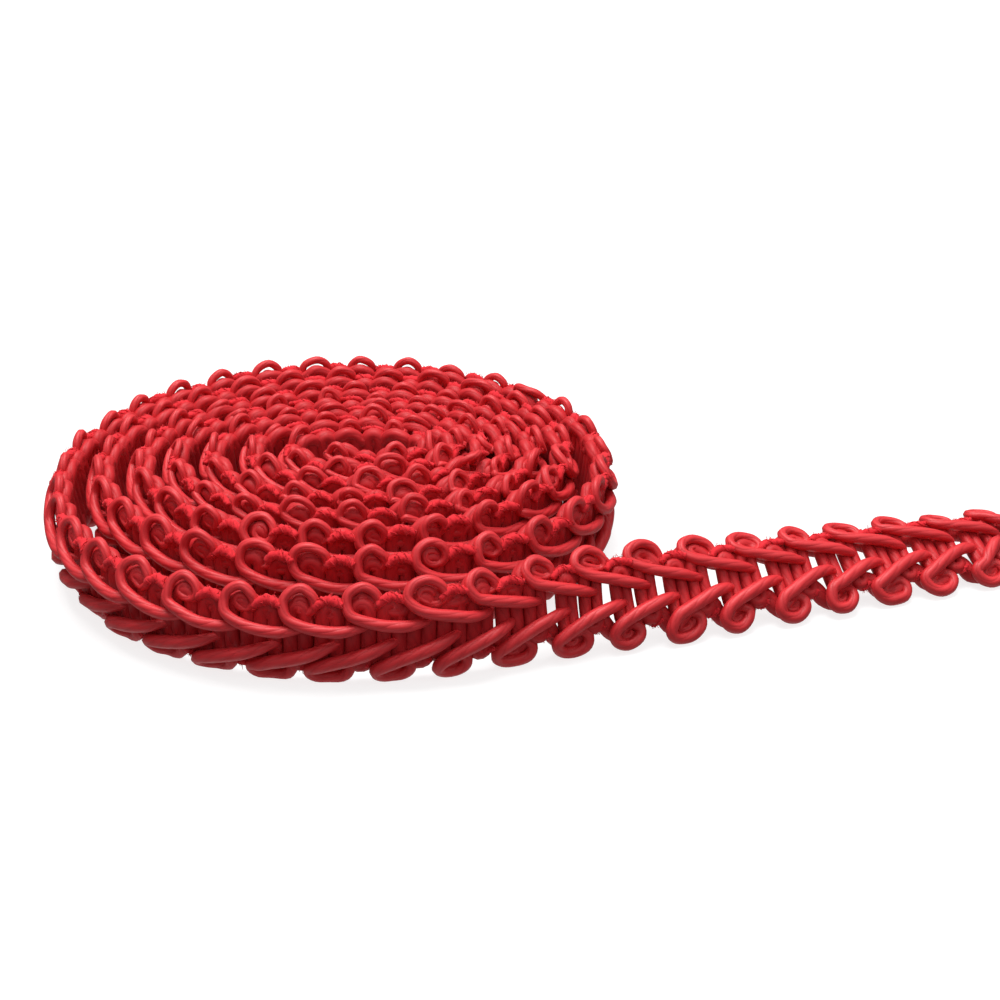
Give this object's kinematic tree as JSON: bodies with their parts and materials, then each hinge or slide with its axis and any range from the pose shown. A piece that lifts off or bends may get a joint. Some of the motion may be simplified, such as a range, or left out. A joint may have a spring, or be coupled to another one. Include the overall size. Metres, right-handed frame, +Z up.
{
  "type": "gimp braid trim",
  "caption": "Looped gimp braid wound on its edge into a flat coil, with its loose end drawn out to one side.",
  "frame": {"origin": "middle of the whole footprint, on the surface that the coil stands on", "axes": "+Z up across the braid, +X the way the loose end runs, +Y towards the back of the coil"},
  "size_m": [0.1302, 0.0752, 0.0129],
  "materials": {
    "gimp_cord": "satin"
  },
  "bodies": {
    "root": {"wound_roll": "gimp_cord", "loose_end": "gimp_cord"}
  },
  "joints": []
}
